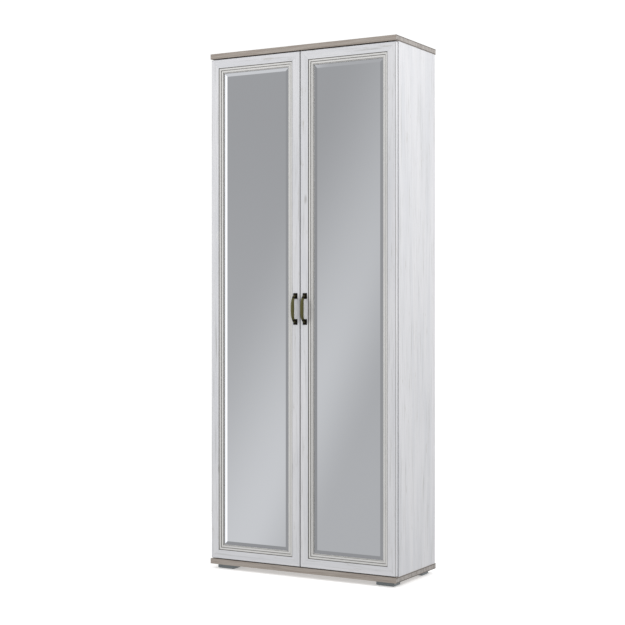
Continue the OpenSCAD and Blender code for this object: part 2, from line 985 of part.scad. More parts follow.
// The arm is a channel: two flanges that carry the arm pin, and a web over the saddle.
module hinge_arm() {
    inner = link_half_w + arm_play;
    for (z = [-inner - arm_wall, inner])
        translate([0, 0, z])
            linear_extrude(arm_wall)
                union() {
                    translate([link_pin_u, link_pin_v]) circle(r = arm_nose_r);
                    translate([link_pin_u - arm_nose_r, link_pin_v])
                        square([2 * arm_nose_r, arm_web_v - link_pin_v]);
                    translate([link_pin_u - arm_nose_r, arm_web_v])
                        square([arm_web_u + arm_wall - link_pin_u + arm_nose_r, arm_l - arm_web_v]);
                }
    difference() {
        block([arm_web_u, arm_web_v, -inner], [arm_web_u + arm_wall, arm_l, inner]);
        translate([arm_web_u - 1, saddle_mid, 0]) along_x(screw_r, arm_wall + 2);
    }
    translate([link_pin_u, link_pin_v, -inner - arm_wall])
        cylinder(r = pin_dia / 2, h = 2 * (inner + arm_wall));
}

module hinge_arms() {
    color(NICKEL) on_both_sides() at_hinges() hinge_arm();
}

module at_plate_screws() {
    for (z = [-1, 1])
        translate([side_u + plate_t, saddle_mid, z * plate_screw_z])
            rotate([0, -90, 0])
                children();
}

module hinge_plate() {
    difference() {
        union() {
            block(
                [side_u, saddle_mid - plate_w / 2, -plate_l / 2],
                [side_u + plate_t, saddle_mid + plate_w / 2, plate_l / 2]
            );
            block([side_u, saddle_v0, -link_half_w], [arm_web_u, saddle_v1, link_half_w]);
        }
        at_plate_screws() screw_seat(plate_t + 1);
        translate([arm_web_u - screw_l, saddle_mid, 0]) along_x(screw_r, screw_l + 1);
    }
}

module hinge_plates() {
    color(NICKEL) on_both_sides() at_hinges() hinge_plate();
}

// Two screws hold each plate to its side panel, and one holds the arm to the plate.
module hinge_plate_screws() {
    color(ZINC)
        on_both_sides()
            at_hinges() {
                at_plate_screws() screw(screw_l);
                translate([arm_web_u - screw_l + 1, saddle_mid, 0])
                    along_x(screw_r, screw_l + arm_wall - 1);
                translate([arm_web_u + arm_wall, saddle_mid, 0])
                    along_x(screw_head_r, screw_head_t);
            }
}

// ---------------------------------------------------------------- output

module door_piece(piece, side) {
    if (piece == "outer_stile") outer_stile(side);
    if (piece == "inner_stile") inner_stile(side);
    if (piece == "top_rail") top_rail(side);
    if (piece == "bottom_rail") bottom_rail(side);
    if (piece == "mirror") mirror_glass(side);
    if (piece == "mirror_backing") mirror_backing(side);
    if (piece == "backing_pins") backing_pins(side);
    if (piece == "handle") handle(side);
    if (piece == "handle_screws") handle_screws(side);
    if (piece == "hinge_cups") hinge_cups(side);
    if (piece == "cup_screws") cup_screws(side);
}

top_board();
bottom_board();
divider();
hat_shelf();
for (s = SIDES) {
    side_panel(s);
    back_panel(s);
    wall_bracket(s);
    hinge_links(s);
    for (p = DOOR_PIECES)
        door_piece(p, s);
}
for (i = [1:shelf_n])
    shelf_left(i);
hanging_rail();
rail_socket("front");  // rail_socket_front
rail_socket("rear");  // rail_socket_rear
rail_screws();
for (e = ENDS)
    foot(e);
foot_pads();
foot_screws();
cams();
cam_bolts();
dowels();
shelf_pins();
back_nails();
wall_bracket_screws();
door_bumpers();
hinge_plates();
hinge_plate_screws();
hinge_arms();
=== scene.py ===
"""Looks of a two-door mirrored armoire, built around its fixed CAD frame. Lengths are metres."""

import json
import math

import bmesh
import bpy
from mathutils import Matrix, Vector


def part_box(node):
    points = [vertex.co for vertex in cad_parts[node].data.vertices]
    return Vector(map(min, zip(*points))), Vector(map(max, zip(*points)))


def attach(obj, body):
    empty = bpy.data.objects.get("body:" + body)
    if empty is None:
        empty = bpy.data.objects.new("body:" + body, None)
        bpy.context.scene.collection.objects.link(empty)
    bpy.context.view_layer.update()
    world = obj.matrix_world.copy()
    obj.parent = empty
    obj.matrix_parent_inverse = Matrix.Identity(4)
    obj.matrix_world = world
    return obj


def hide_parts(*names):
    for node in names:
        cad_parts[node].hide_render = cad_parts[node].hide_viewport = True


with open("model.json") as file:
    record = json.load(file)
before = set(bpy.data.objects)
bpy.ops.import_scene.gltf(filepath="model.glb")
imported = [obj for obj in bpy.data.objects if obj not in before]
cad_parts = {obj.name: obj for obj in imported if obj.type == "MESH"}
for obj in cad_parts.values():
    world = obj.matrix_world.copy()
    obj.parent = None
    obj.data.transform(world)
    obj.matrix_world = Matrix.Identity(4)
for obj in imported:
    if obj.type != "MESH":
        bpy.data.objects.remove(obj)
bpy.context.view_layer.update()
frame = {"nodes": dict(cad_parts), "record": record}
RECORD = frame["record"]
NODE_BODY = {node: body for body, nodes in RECORD["behaviour"]["bodies"].items() for node in nodes}

bl_info = {
    "name": "Mirrored Armoire",
    "version": (1, 0, 0),
    "blender": (4, 5, 0),
    "location": "3D View > Sidebar > Armoire",
    "description": "Dresses the armoire's frame in its boards, mirrors, handles and fittings",
    "category": "Object",
}

MM = 0.001
SIDES = ("left", "right")
SOFT = {"interpolation_type": "SMOOTHSTEP"}

# Radius of the studio's round floor
FLOOR_R = 2.2

# Tint of the mirrors' silvering
SILVER = "#ccced2"


# ---------------------------------------------------------------- sizes taken from the frame

def door_box(side):
    """Lowest and highest corner of one door's frame."""
    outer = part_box(f"outer_stile_{side}")
    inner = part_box(f"inner_stile_{side}")
    low = Vector([min(outer[0][i], inner[0][i]) for i in range(3)])
    high = Vector([max(outer[1][i], inner[1][i]) for i in range(3)])
    return low, high


def cad_copy(name, node):
    """A merged copy of a CAD node's mesh, ready for a bevel."""
    mesh = frame["nodes"][node].data.copy()
    mesh.name = name
    mesh.materials.clear()
    work = bmesh.new()
    work.from_mesh(mesh)
    bmesh.ops.remove_doubles(work, verts=work.verts, dist=0.01 * MM)
    bmesh.ops.dissolve_limit(
        work, angle_limit=math.radians(0.5), verts=work.verts, edges=work.edges
    )
    for face in work.faces:
        face.smooth = False
    work.to_mesh(mesh)
    work.free()
    piece = bpy.data.objects.new(name, mesh)
    bpy.context.collection.objects.link(piece)
    return piece


def islands(node):
    """Boxes of the separate solids in a CAD node, as (low, high) pairs in a steady order."""
    work = bmesh.new()
    work.from_mesh(frame["nodes"][node].data)
    bmesh.ops.remove_doubles(work, verts=work.verts, dist=0.001 * MM)
    left = set(work.verts)
    found = []
    while left:
        stack = [left.pop()]
        group = list(stack)
        while stack:
            for edge in stack.pop().link_edges:
                for vert in edge.verts:
                    if vert in left:
                        left.remove(vert)
                        stack.append(vert)
                        group.append(vert)
        low = Vector([min(v.co[i] for v in group) for i in range(3)])
        high = Vector([max(v.co[i] for v in group) for i in range(3)])
        found.append((low, high))
    work.free()
    return sorted(found, key=lambda pair: tuple(round(c, 5) for c in pair[0]))


# ---------------------------------------------------------------- node trees

def linear(hex_colour):
    """An sRGB hex colour as linear RGBA."""
    channels = [int(hex_colour[i:i + 2], 16) / 255 for i in (1, 3, 5)]
    curved = [c / 12.92 if c <= 0.04045 else ((c + 0.055) / 1.055) ** 2.4 for c in channels]
    return (*curved, 1.0)


def add(tree, kind, inputs=(), out=None, **settings):
    """Adds a node with its settings. Its inputs are values or sockets to link, in order from the
    first or by name or number. Returns the node, or the output that out asks for."""
    node = tree.nodes.new(kind)
    for key, value in settings.items():
        setattr(node, key, value)
    for key, value in inputs.items() if isinstance(inputs, dict) else enumerate(inputs):
        if isinstance(value, bpy.types.NodeSocket):
            tree.links.new(value, node.inputs[key])
        else:
            node.inputs[key].default_value = value
    return node if out is None else node.outputs[out]


def new_material(name, **surface):
    """An empty material with one Principled surface. Returns the material, its tree and surface."""
    material = bpy.data.materials.new(name)
    material.use_nodes = True
    tree = material.node_tree
    tree.nodes.clear()
    shader = add(tree, "ShaderNodeBsdfPrincipled", surface)
    add(tree, "ShaderNodeOutputMaterial", {"Surface": shader.outputs["BSDF"]})
    return material, tree, shader


def dress(tree, shader, colour, grain, depth):
    """Gives a surface its colour, and its grain as relief of that depth."""
    relief = add(tree, "ShaderNodeBump", {"Height": grain, "Distance": depth}, 0)
    tree.links.new(colour, shader.inputs["Base Color"])
    tree.links.new(relief, shader.inputs["Normal"])


def object_place(tree, scale=(1, 1, 1), offset=(0, 0, 0)):
    """Object coordinates through a Mapping node."""
    place = add(tree, "ShaderNodeTexCoord", (), "Object")
    return add(tree, "ShaderNodeMapping", {"Vector": place, "Scale": scale, "Location": offset}, 0)


def along(axis, across, length):
    """Pattern scale for streaks that run along one axis: cycles a metre across and along."""
    return tuple(1 / length if letter == axis else 1 / across for letter in "XYZ")


def streaks(tree, scale, inputs, offset=(0, 0, 0)):
    """Soft streaks, each axis stretched by its own scale."""
    place = object_place(tree, scale, offset)
    return add(tree, "ShaderNodeTexNoise", {"Vector": place, "Scale": 1.0, **inputs}, "Fac")


def lay(tree, under, over, share, most=1.0):
    """Lays one colour over another: the share says where, most says how thickly."""
    cover = add(tree, "ShaderNodeMath", (share, most), 0, operation="MULTIPLY")
    return add(tree, "ShaderNodeMix", {0: cover, 6: under, 7: over}, 2, data_type="RGBA")


def wash(tree, under, over, pattern, low, high):
    """Lays one colour over another where a pattern goes from one level to the other."""
    share = add(tree, "ShaderNodeMapRange", (pattern, low, high), 0, **SOFT)
    return lay(tree, under, over, share)


def mottle(tree, base, fleck, size, inputs, offset=(0, 0, 0)):
    """Two shades mixed by an even speckle of one size, which is coarser than the real one so that
    it shows. Returns the colour and the speckle."""
    spots = {"Vector": object_place(tree, offset=offset), "Scale": 1 / size}
    speckle = add(tree, "ShaderNodeTexNoise", {**spots, **inputs}, "Fac")
    return lay(tree, linear(base), linear(fleck), speckle), speckle


def distance(tree, place, spot):
    """How far a place on one axis lies from a spot, on either side of it."""
    away = add(tree, "ShaderNodeMath", (place, spot), 0, operation="SUBTRACT")
    return add(tree, "ShaderNodeMath", (away,), 0, operation="ABSOLUTE")


# ---------------------------------------------------------------- materials

def washed_pine(name, axis, door_glaze_and_shade=False):
    """White washed pine foil on board: pale, with soft grey grain streaks, a few knots and a
    slight tooth. On the door frames a grey-brown glaze lies in the moulding's steps, and a dark
    line of glaze and painted shade runs along the arrises of the doors' sides."""
    material, tree, shader = new_material(name, Roughness=0.5, IOR=1.46)
    shader.inputs["Coat Weight"].default_value = 0.12
    shader.inputs["Coat Roughness"].default_value = 0.35
    thin = along(axis, 5 * MM, 220 * MM)
    wide = along(axis, 45 * MM, 700 * MM)
    short = along(axis, 14 * MM, 90 * MM)
    fine = streaks(tree, thin, {"Detail": 5.0, "Roughness": 0.6, "Distortion": 0.25})
    broad = streaks(tree, wide, {"Detail": 3.0, "Distortion": 0.6}, (3.1, 1.7, 0.4))
    brushed = streaks(tree, short, {"Detail": 6.0, "Roughness": 0.7}, (7.3, 2.2, 5.9))
    colour = wash(tree, linear("#dadadd"), linear("#d0d1d5"), broad, 0.35, 0.7)
    colour = wash(tree, colour, linear("#b5b5b4"), fine, 0.52, 0.76)
    colour = wash(tree, colour, linear("#b4b1aa"), brushed, 0.58, 0.78)
    colour = wash(tree, colour, linear("#e4e3e1"), brushed, 0.4, 0.2)
    colour = lay(tree, colour, linear("#9a9894"), knot_hearts(tree, axis, fine), 0.55)
    if door_glaze_and_shade:
        lines, moulded = glaze_and_edge_shade(tree, fine)
        colour = lay(tree, colour, linear("#d6d4cd"), moulded, 0.5)
        # dark grey-brown lines: glaze in the steps, and glaze with painted shade on the doors' side
        # arrises
        colour = lay(tree, colour, linear("#3a342b"), lines)
    dress(tree, shader, colour, fine, 0.12 * MM)
    return material


def knot_hearts(tree, axis, wobble):
    """The hearts of a few knots, drawn out along the grain, with uneven rims."""
    place = object_place(tree, along(axis, 150 * MM, 420 * MM), (0.37, 0.81, 0.23))
    knots = add(tree, "ShaderNodeTexVoronoi", {"Vector": place, "Scale": 1.0, "Randomness": 1.0})
    lot = add(tree, "ShaderNodeSeparateColor", {"Color": knots.outputs["Color"]}, "Red")
    chosen = add(tree, "ShaderNodeMath", (lot, 0.45), 0, operation="GREATER_THAN")
    uneven = (wobble, 0.05, knots.outputs["Distance"])
    reach = add(tree, "ShaderNodeMath", uneven, 0, operation="MULTIPLY_ADD")
    heart = add(tree, "ShaderNodeMapRange", (reach, 0.09, 0.04), 0, **SOFT)
    return add(tree, "ShaderNodeMath", (heart, chosen), 0, operation="MULTIPLY")


def glaze_and_edge_shade(tree, wear):
    """Grey-brown glaze in the steps of the door frames, and a line of glaze and painted shade on the
    long outer arrises along the doors' sides. The distance to the door's nearest outer edge is the
    same function on stiles and rails, so the lines meet at the mitres."""
    low, high = door_box("left")
    half_w = (high.x - low.x) / 2
    half_h = (high.z - low.z) / 2
    thickness = high.y - low.y
    place = add(tree, "ShaderNodeTexCoord", (), "Object")
    split = add(tree, "ShaderNodeSeparateXYZ", (place,))
    across = distance(tree, split.outputs["X"], 0.0)
    off_upright = distance(tree, across, -(low.x + high.x) / 2)
    off_level = distance(tree, split.outputs["Z"], (low.z + high.z) / 2)
    to_side = add(tree, "ShaderNodeMath", (half_w, off_upright), 0, operation="SUBTRACT")
    to_end = add(tree, "ShaderNodeMath", (half_h, off_level), 0, operation="SUBTRACT")
    reach = add(tree, "ShaderNodeMath", (to_side, to_end), 0, operation="MINIMUM")
    total = 0.0
    risers = step_places()
    for riser, strip in zip(risers, (2.2 * MM, 1.6 * MM, 0.7 * MM)):
        away = add(tree, "ShaderNodeMath", (reach, riser), 0, operation="SUBTRACT")
        inside = add(tree, "ShaderNodeMapRange", (away, strip + 0.4 * MM, strip), 0, **SOFT)
        outside = add(tree, "ShaderNodeMapRange", (away, -0.25 * MM, -0.1 * MM), 0, **SOFT)
        line = add(tree, "ShaderNodeMath", (inside, outside), 0, operation="MULTIPLY")
        total = add(tree, "ShaderNodeMath", (total, line), 0, operation="MAXIMUM")
    depth = add(tree, "ShaderNodeMath", (split.outputs["Y"], low.y), 0, operation="SUBTRACT")
    face = add(tree, "ShaderNodeMapRange", (depth, 13 * MM, 10 * MM), 0, **SOFT)
    front = add(tree, "ShaderNodeMapRange", (depth, 2.0 * MM, 1.4 * MM), 0, **SOFT)
    rear_levels = (depth, thickness - 3.2 * MM, thickness - 2.6 * MM)
    rear = add(tree, "ShaderNodeMapRange", rear_levels, 0, **SOFT)
    # the line on the front and rear arrises of the doors' sides is glaze and painted shade of the
    # rounded edge
    edge = add(tree, "ShaderNodeMapRange", (to_side, 1.8 * MM, 1.0 * MM), 0, **SOFT)
    arrises = add(tree, "ShaderNodeMath", (front, rear), 0, operation="MAXIMUM")
    rubbed = add(tree, "ShaderNodeMath", (edge, arrises), 0, operation="MULTIPLY")
    rubbed = add(tree, "ShaderNodeMath", (rubbed, 0.75), 0, operation="MULTIPLY")
    steps = add(tree, "ShaderNodeMath", (total, face), 0, operation="MULTIPLY")
    glazed = add(tree, "ShaderNodeMath", (steps, rubbed), 0, operation="MAXIMUM")
    worn = add(tree, "ShaderNodeMath", (wear, 0.3, 0.75), 0, operation="MULTIPLY_ADD")
    lines = add(tree, "ShaderNodeMath", (glazed, worn), 0, operation="MULTIPLY")
    stepped = add(tree, "ShaderNodeMapRange", (reach, risers[0], risers[0] + MM), 0, **SOFT)
    moulded = add(tree, "ShaderNodeMath", (stepped, face), 0, operation="MULTIPLY")
    return lines, moulded


def step_places():
    """Distances of the moulding's risers from the door's outer edge: the stile's mesh has corners
    at two depths there, the shallower one in front of the mirror. The last such place is the lip's
    own edge at the mirror, which is left out."""
    low = door_box("left")[0]
    mirror_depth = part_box("mirror_left")[0].y - low.y
    depths = {}
    for vert in frame["nodes"]["outer_stile_left"].data.vertices:
        reach = round(vert.co.x - low.x, 4)
        depths.setdefault(reach, set()).add(round(vert.co.y - low.y, 4))
    risers = sorted(
        reach
        for reach, found in depths.items()
        if reach > 5 * MM and len(found) > 1 and min(found) < mirror_depth - 1 * MM
    )
    return risers[:-1]


def limed_oak(name, axis):
    """Grey limed oak foil: taupe, with fine open pores along the grain and a matt finish."""
    material, tree, shader = new_material(name, Roughness=0.62, IOR=1.46)
    thin = along(axis, 2.5 * MM, 60 * MM)  # wider than real pores, so that they show
    wide = along(axis, 12 * MM, 260 * MM)
    pores = streaks(tree, thin, {"Detail": 6.0, "Roughness": 0.65})
    figure = streaks(tree, wide, {"Detail": 3.0, "Distortion": 1.1}, (5.0, 1.0, 2.0))
    colour = wash(tree, linear("#a9a199"), linear("#978d85"), figure, 0.32, 0.68)
    colour = wash(tree, colour, linear("#7c726a"), pores, 0.55, 0.75)
    colour = wash(tree, colour, linear("#bab4ad"), pores, 0.42, 0.25)
    facing = add(tree, "ShaderNodeTexCoord", (), "Normal")
    sideways = add(tree, "ShaderNodeSeparateXYZ", (facing,), "X")
    colour = wash(tree, colour, end_band(tree), distance(tree, sideways, 0.0), 0.6, 0.9)
    dress(tree, shader, colour, pores, 0.15 * MM)
    return material


def end_band(tree):
    """Edge band on the oak boards' ends: greyer than the faces, with short slanting strokes."""
    short = along("Z", 6 * MM, 25 * MM)
    strokes = streaks(tree, short, {"Detail": 4.0, "Distortion": 0.8}, (0.3, 0.9, 4.0))
    band = wash(tree, linear("#aba6a2"), linear("#8f8984"), strokes, 0.4, 0.65)
    height = add(tree, "ShaderNodeSeparateXYZ", (object_place(tree),), "Z")
    for node in ("top_board", "bottom_board"):
        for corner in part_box(node):
            near = distance(tree, height, corner.z)
            band = wash(tree, band, linear("#6c6661"), near, 4.5 * MM, 2.5 * MM)
    return band


def oak_edge_line(name):
    """The foil's folded arris on the oak boards: a thin darker brown line."""
    material, tree, shader = new_material(name, Roughness=0.6, IOR=1.46)
    colour = mottle(tree, "#7d736a", "#675e56", 8.333 * MM, {"Detail": 2.0})[0]
    tree.links.new(colour, shader.inputs["Base Color"])
    return material


def silvered_glass(name):
    """Silvered float glass: a cool, slightly dim mirror with the faint ripple of float glass."""
    material, tree, shader = new_material(name, Metallic=1.0, Roughness=0.012)
    shader.inputs["Base Color"].default_value = linear(SILVER)
    waves = {"Vector": object_place(tree), "Scale": 1 / (454.5 * MM), "Detail": 1.0}
    ripple = add(tree, "ShaderNodeTexNoise", waves, "Fac")
    relief = {"Height": ripple, "Distance": 0.3 * MM, "Strength": 0.25}
    tree.links.new(add(tree, "ShaderNodeBump", relief, 0), shader.inputs["Normal"])
    return material


def painted_hardboard(name):
    """White painted hardboard: flat white with the fine felt pattern of the fibres."""
    material, tree, shader = new_material(name, Roughness=0.75, IOR=1.46)
    felted = {"Detail": 4.0, "Roughness": 0.7}
    colour, fibres = mottle(tree, "#dcdad5", "#cbc8c2", 2.857 * MM, felted)
    dress(tree, shader, colour, fibres, 0.1 * MM)
    return material


def antique_bronze(name):
    """Cast zinc with an antique bronze plate: near-black in the low places, rubbed back to olive
    bronze where the hand wears it. The mesh's wear attribute says where."""
    material, tree, shader = new_material(name, Metallic=0.8, Roughness=0.42)
    worn = add(tree, "ShaderNodeAttribute", (), "Fac", attribute_name="wear")
    grit = along("Z", 2.381 * MM, 2.381 * MM)  # coarser than the real skin, so that it shows
    cloud = along("Z", 16.67 * MM, 16.67 * MM)
    cast = streaks(tree, grit, {"Detail": 5.0, "Roughness": 0.65})
    blotch = streaks(tree, cloud, {"Detail": 3.0}, (120.0, 180.0, 60.0))
    held = add(tree, "ShaderNodeMath", (worn, 0.25), 0, operation="SUBTRACT")
    rubbed = add(tree, "ShaderNodeMath", (blotch, 0.5, held), 0, operation="MULTIPLY_ADD")
    colour = wash(tree, linear("#191409"), linear("#605d39"), rubbed, 0.1, 0.75)
    colour = wash(tree, colour, linear("#2b2516"), cast, 0.6, 0.8)
    matt = add(tree, "ShaderNodeMath", (cast, 0.3, 0.3), 0, operation="MULTIPLY_ADD")
    tree.links.new(matt, shader.inputs["Roughness"])
    dress(tree, shader, colour, cast, 0.08 * MM)
    return material


def coated_foot(name):
    """Satin grey powder coat on the feet: a fine orange-peel and a soft metallic sheen."""
    material, tree, shader = new_material(name, Metallic=0.35, Roughness=0.42)
    colour, peel = mottle(tree, "#8a9093", "#787e80", 1.667 * MM, {"Detail": 2.0})
    dress(tree, shader, colour, peel, 0.06 * MM)
    return material


def plated_steel(name, light, dark, roughness, scratch):
    """Plated steel: bright, with fine drawing lines and a little cloudiness."""
    material, tree, shader = new_material(name, Metallic=1.0, Roughness=roughness)
    drawn = along("Z", scratch, 12 * MM)  # wider than real drawing lines, so that they show
    lines = streaks(tree, drawn, {"Detail": 3.0})
    colour = mottle(tree, light, dark, 22.22 * MM, {"Detail": 2.0}, (1.0, 2.0, 3.0))[0]
    levels = (lines, 0.2, roughness - 0.08)
    matt = add(tree, "ShaderNodeMath", levels, 0, operation="MULTIPLY_ADD")
    tree.links.new(matt, shader.inputs["Roughness"])
    dress(tree, shader, colour, lines, 0.03 * MM)
    return material


def raw_beech(name):
    """Raw beech dowel: warm pale wood with short brown flecks."""
    material, tree, shader = new_material(name, Roughness=0.7, IOR=1.46)
    flecks = streaks(tree, along("Z", 0.8 * MM, 6 * MM), {"Detail": 3.0})
    colour = wash(tree, linear("#d2b387"), linear("#a88458"), flecks, 0.5, 0.7)
    dress(tree, shader, colour, flecks, 0.1 * MM)
    return material


def pressed_felt(name):
    """Black pressed felt: matt, with matted fibres."""
    material, tree, shader = new_material(name, Roughness=0.95)
    shader.inputs["Sheen Weight"].default_value = 0.3
    matted = {"Detail": 5.0, "Roughness": 0.8}
    colour, fibres = mottle(tree, "#1e1d1c", "#3f3d3b", 1.111 * MM, matted)
    dress(tree, shader, colour, fibres, 0.4 * MM)
    return material


def clear_polyurethane(name):
    """Clear polyurethane bumper: milky, soft and slightly glossy."""
    material, tree, shader = new_material(name, Roughness=0.3, IOR=1.5)
    shader.inputs["Transmission Weight"].default_value = 0.5
    colour = mottle(tree, "#e6e9e9", "#cfd4d4", 3.333 * MM, {"Detail": 2.0})[0]
    tree.links.new(colour, shader.inputs["Base Color"])
    return material


def studio_floor(name):
    """Pale studio floor, lit from within a little so that it runs out to white, and clear
    towards its rim so that it has no visible edge."""
    material, tree, shader = new_material(name, Roughness=0.9)
    shader.inputs["Base Color"].default_value = linear("#fafafa")
    shader.inputs["Emission Color"].default_value = (1, 1, 1, 1)
    shader.inputs["Emission Strength"].default_value = 0.36
    place = object_place(tree)
    away = add(tree, "ShaderNodeVectorMath", {0: place}, "Value", operation="LENGTH")
    solid = add(tree, "ShaderNodeMapRange", (away, FLOOR_R * 0.95, FLOOR_R * 0.4), 0, **SOFT)
    tree.links.new(solid, shader.inputs["Alpha"])
    return material


MATERIALS = {}


def finish(name):
    """The material of that name, made when it is first asked for."""
    makers = {
        "pine_upright": lambda: washed_pine("Washed pine foil, upright grain", "Z"),
        "pine_across": lambda: washed_pine("Washed pine foil, level grain", "X"),
        "pine_stile": lambda: washed_pine("Washed pine door frame, upright grain", "Z", True),
        "pine_rail": lambda: washed_pine("Washed pine door frame, level grain", "X", True),
        "oak": lambda: limed_oak("Limed oak foil", "X"),
        "oak_line": lambda: oak_edge_line("Limed oak arris"),
        "mirror": lambda: silvered_glass("Silvered float glass"),
        "hardboard": lambda: painted_hardboard("White painted hardboard"),
        "bronze": lambda: antique_bronze("Antique bronze plated casting"),
        "foot": lambda: coated_foot("Satin grey powder coat"),
        "nickel": lambda: plated_steel("Nickel plated steel", "#c9cacc", "#b3b5b8", 0.28, 0.6 * MM),
        "zinc": lambda: plated_steel("Zinc plated steel", "#bfc3c8", "#a3a8ae", 0.36, 0.4 * MM),
        "cam": lambda: plated_steel("Die-cast zinc", "#b7b8b9", "#9c9d9f", 0.5, 0.8 * MM),
        "beech": lambda: raw_beech("Raw beech"),
        "felt": lambda: pressed_felt("Pressed felt"),
        "bumper": lambda: clear_polyurethane("Clear polyurethane"),
        "floor": lambda: studio_floor("Seamless studio floor"),
    }
    if name not in MATERIALS:
        MATERIALS[name] = makers[name]()
    return MATERIALS[name]


# ---------------------------------------------------------------- mesh helpers

def new_piece(name, work, material):
    """Turns a bmesh into a piece with one material and outward faces."""
    bmesh.ops.remove_doubles(work, verts=work.verts, dist=0.001 * MM)
    bmesh.ops.recalc_face_normals(work, faces=work.faces)
    mesh = bpy.data.meshes.new(name)
    work.to_mesh(mesh)
    work.free()
    mesh.materials.append(finish(material))
    piece = bpy.data.objects.new(name, mesh)
    bpy.context.collection.objects.link(piece)
    return piece


def bevel(piece, width, segments=2, material_index=-1, angle=35):
    """Rounds a piece's arrises, in the mesh itself."""
    work = bmesh.new()
    work.from_mesh(piece.data)
    sharp = [
        e for e in work.edges
        if len(e.link_faces) == 2 and e.calc_face_angle(0) > math.radians(angle)
    ]
    bmesh.ops.bevel(
        work, geom=sharp, offset=width, segments=segments, profile=0.5, affect="EDGES",
        clamp_overlap=True, material=material_index, harden_normals=False,
    )
    work.to_mesh(piece.data)
    work.free()


def stand_for(piece, node):
    """The piece takes over a CAD node: it rides on the node's body."""
    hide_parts(node)
    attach(piece, NODE_BODY[node])
    return piece


def paint(node, name):
    """Gives a CAD node that keeps its shape a better material."""
    mesh = frame["nodes"][node].data
    mesh.materials.clear()
    mesh.materials.append(finish(name))


def lathe(work, profile, steps, matrix):
    """Adds a closed turned solid: the profile is (radius, height) pairs from axis to axis."""
    rings = []
    for radius, height in profile:
        if radius < 1e-7:
            rings.append([work.verts.new(matrix @ Vector((0, 0, height)))])
            continue
        turns = [2 * math.pi * i / steps for i in range(steps)]
        rings.append([
            work.verts.new(matrix @ Vector((radius * math.cos(a), radius * math.sin(a), height)))
            for a in turns
        ])
    for below, above in zip(rings, rings[1:]):
        for i in range(steps):
            j = (i + 1) % steps
            if len(below) == 1:
                work.faces.new([below[0], above[j], above[i]])
            elif len(above) == 1:
                work.faces.new([below[i], below[j], above[0]])
            else:
                work.faces.new([below[i], below[j], above[j], above[i]])


def loft(work, sections):
    """Joins closed sections of equal point counts, and caps both ends."""
    rings = [[work.verts.new(point) for point in section] for section in sections]
    count = len(rings[0])
    for below, above in zip(rings, rings[1:]):
        for i in range(count):
            j = (i + 1) % count
            work.faces.new([below[i], below[j], above[j], above[i]])
    work.faces.new(list(reversed(rings[0])))
    work.faces.new(rings[-1])


# ---------------------------------------------------------------- fasteners by Geometry Nodes

def fastener_tree():
    """Geometry Nodes: sets one fastener on every point of a mesh, turned the way that the point's
    turn attribute says."""
    tree = bpy.data.node_groups.new("Set fasteners on points", "GeometryNodeTree")
    face = tree.interface
    face.new_socket("Geometry", in_out="OUTPUT", socket_type="NodeSocketGeometry")
    face.new_socket("Points", in_out="INPUT", socket_type="NodeSocketGeometry")
    face.new_socket("Fastener", in_out="INPUT", socket_type="NodeSocketObject")
    face.new_socket("Material", in_out="INPUT", socket_type="NodeSocketMaterial")
    face.new_socket("Turn Spread", in_out="INPUT", socket_type="NodeSocketFloat")
    face.new_socket("Seed", in_out="INPUT", socket_type="NodeSocketInt")
    entry = tree.nodes.new("NodeGroupInput").outputs
    source = add(tree, "GeometryNodeObjectInfo", {"Object": entry["Fastener"]})
    turn = add(tree, "GeometryNodeInputNamedAttribute", {"Name": "turn"}, data_type="FLOAT_VECTOR")
    random_turn = tree.nodes.new("FunctionNodeRandomValue")
    random_turn.data_type = "FLOAT"
    tree.links.new(entry["Turn Spread"], random_turn.inputs[3])
    tree.links.new(entry["Seed"], random_turn.inputs["Seed"])
    own = add(tree, "ShaderNodeCombineXYZ", {"Z": random_turn.outputs[1]})
    placed = add(
        tree,
        "GeometryNodeInstanceOnPoints",
        {"Points": entry["Points"], "Instance": source.outputs["Geometry"],
         "Rotation": turn.outputs["Attribute"]},
    )
    spun = add(
        tree,
        "GeometryNodeRotateInstances",
        {"Instances": placed.outputs["Instances"], "Rotation": own.outputs["Vector"]},
    )
    real = add(tree, "GeometryNodeRealizeInstances", {"Geometry": spun.outputs["Instances"]})
    dressed = add(
        tree,
        "GeometryNodeSetMaterial",
        {"Geometry": real.outputs["Geometry"], "Material": entry["Material"]},
    )
    exit_node = tree.nodes.new("NodeGroupOutput")
    tree.links.new(dressed.outputs["Geometry"], exit_node.inputs["Geometry"])
    return tree


def set_fasteners(name, node, fastener, places, material, spread=0.0):
    """One plain mesh of a fastener repeated at places, each (point, turn as Euler angles)."""
    tree = bpy.data.node_groups.get("Set fasteners on points") or fastener_tree()
    mesh = bpy.data.meshes.new(name + "_points")
    mesh.from_pydata([tuple(point) for point, turn in places], [], [])
    turns = mesh.attributes.new("turn", "FLOAT_VECTOR", "POINT")
    for i, place in enumerate(places):
        turns.data[i].vector = place[1]
    holder = bpy.data.objects.new(name + "_holder", mesh)
    bpy.context.collection.objects.link(holder)
    modifier = holder.modifiers.new("Fasteners", "NODES")
    modifier.node_group = tree
    values = {
        "Fastener": fastener, "Material": finish(material), "Turn Spread": spread, "Seed": 7,
    }
    for item in tree.interface.items_tree:
        if item.in_out == "INPUT" and item.name in values:
            modifier[item.identifier] = values[item.name]
    bpy.context.view_layer.update()
    depsgraph = bpy.context.evaluated_depsgraph_get()
    result = bpy.data.meshes.new_from_object(holder.evaluated_get(depsgraph))
    result.name = name
    bpy.data.objects.remove(holder)
    bpy.data.objects.remove(fastener)
    piece = bpy.data.objects.new(name, result)
    bpy.context.collection.objects.link(piece)
    return stand_for(piece, node)


